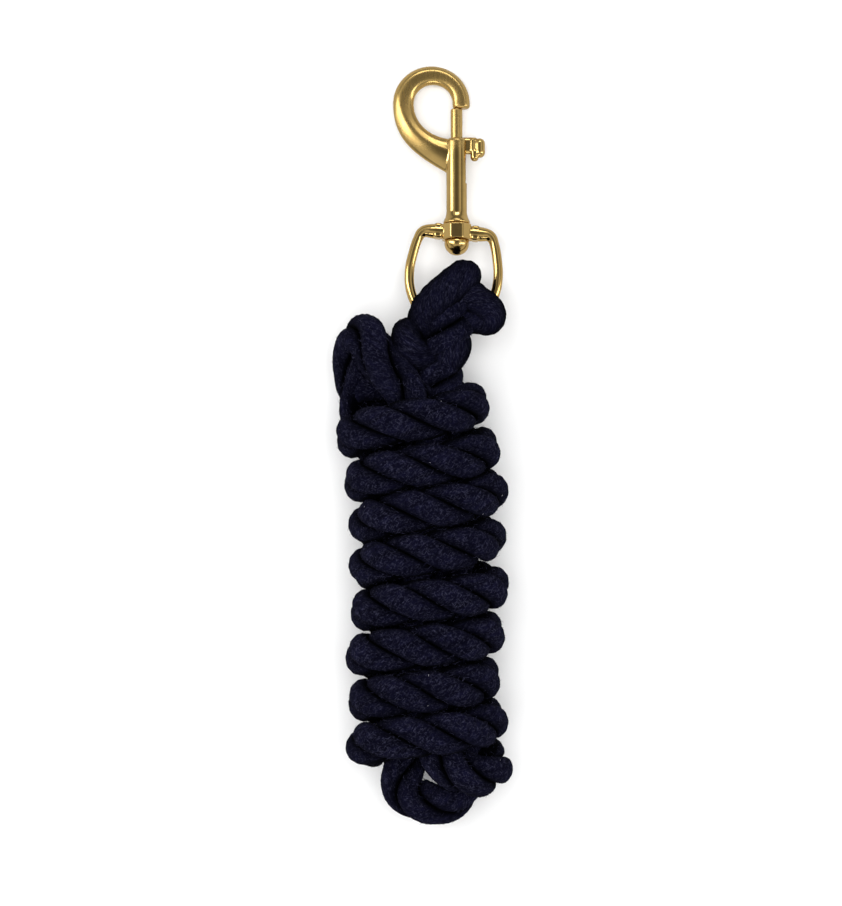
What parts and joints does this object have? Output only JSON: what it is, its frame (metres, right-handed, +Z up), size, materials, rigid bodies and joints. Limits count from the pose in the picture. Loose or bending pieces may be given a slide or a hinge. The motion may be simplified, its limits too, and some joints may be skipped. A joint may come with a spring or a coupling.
{
  "type": "horse lead rope with swivel bolt snap",
  "caption": "Thick three-strand cotton lead rope, hanked up with wraps round a folded core, with a brass swivel bolt snap at an eye splice.",
  "frame": {"origin": "middle of the footprint, on the surface that the hanked rope lies on", "axes": "+Z up from that surface, +Y along the hank towards the snap's hook, +X to the side on which the thumb stud stands out"},
  "size_m": [0.0734, 0.3131, 0.0576],
  "materials": {
    "rope": "soft hairy navy cotton",
    "twine": "waxed navy twine",
    "brass_cast": "satin front face, polished edges",
    "brass_polished": "polished",
    "spring_steel": "bright wire"
  },
  "bodies": {
    "rope": {"rope_hank": "rope", "rope_eye": "rope", "rope_top_bight": "rope", "rope_bottom_bight": "rope", "rope_tail": "rope", "splice_tuck_left": "rope", "splice_tuck_right": "rope", "splice_tuck_ring": "rope", "end_whipping": "twine"},
    "ring": {"swivel_ring": "brass_polished"},
    "snap": {"snap_body": "brass_cast", "swivel_rivet": "brass_polished", "bolt_spring": "spring_steel"},
    "bolt": {"snap_bolt": "brass_polished", "thumb_stud": "brass_polished"}
  },
  "joints": [
    {"name": "ring_tilt", "type": "hinge", "parent": "rope", "child": "ring", "pos_m": [0.0118, 0.0545, 0.0209], "axis": [1, 0, 0], "range_deg": [-80, 25]},
    {"name": "snap_swivel", "type": "hinge", "parent": "ring", "child": "snap", "pos_m": [0.01412, 0.0872, 0.01513], "axis": [0, 0.9848, -0.1736], "continuous": true},
    {"name": "bolt_slide", "type": "slide", "parent": "snap", "child": "bolt", "axis": [0, -0.9848, 0.1736], "range_m": [0, 0.012], "stiffness_N_per_m": 500, "springref_m": -0.004, "deforming": ["bolt_spring"]}
  ]
}
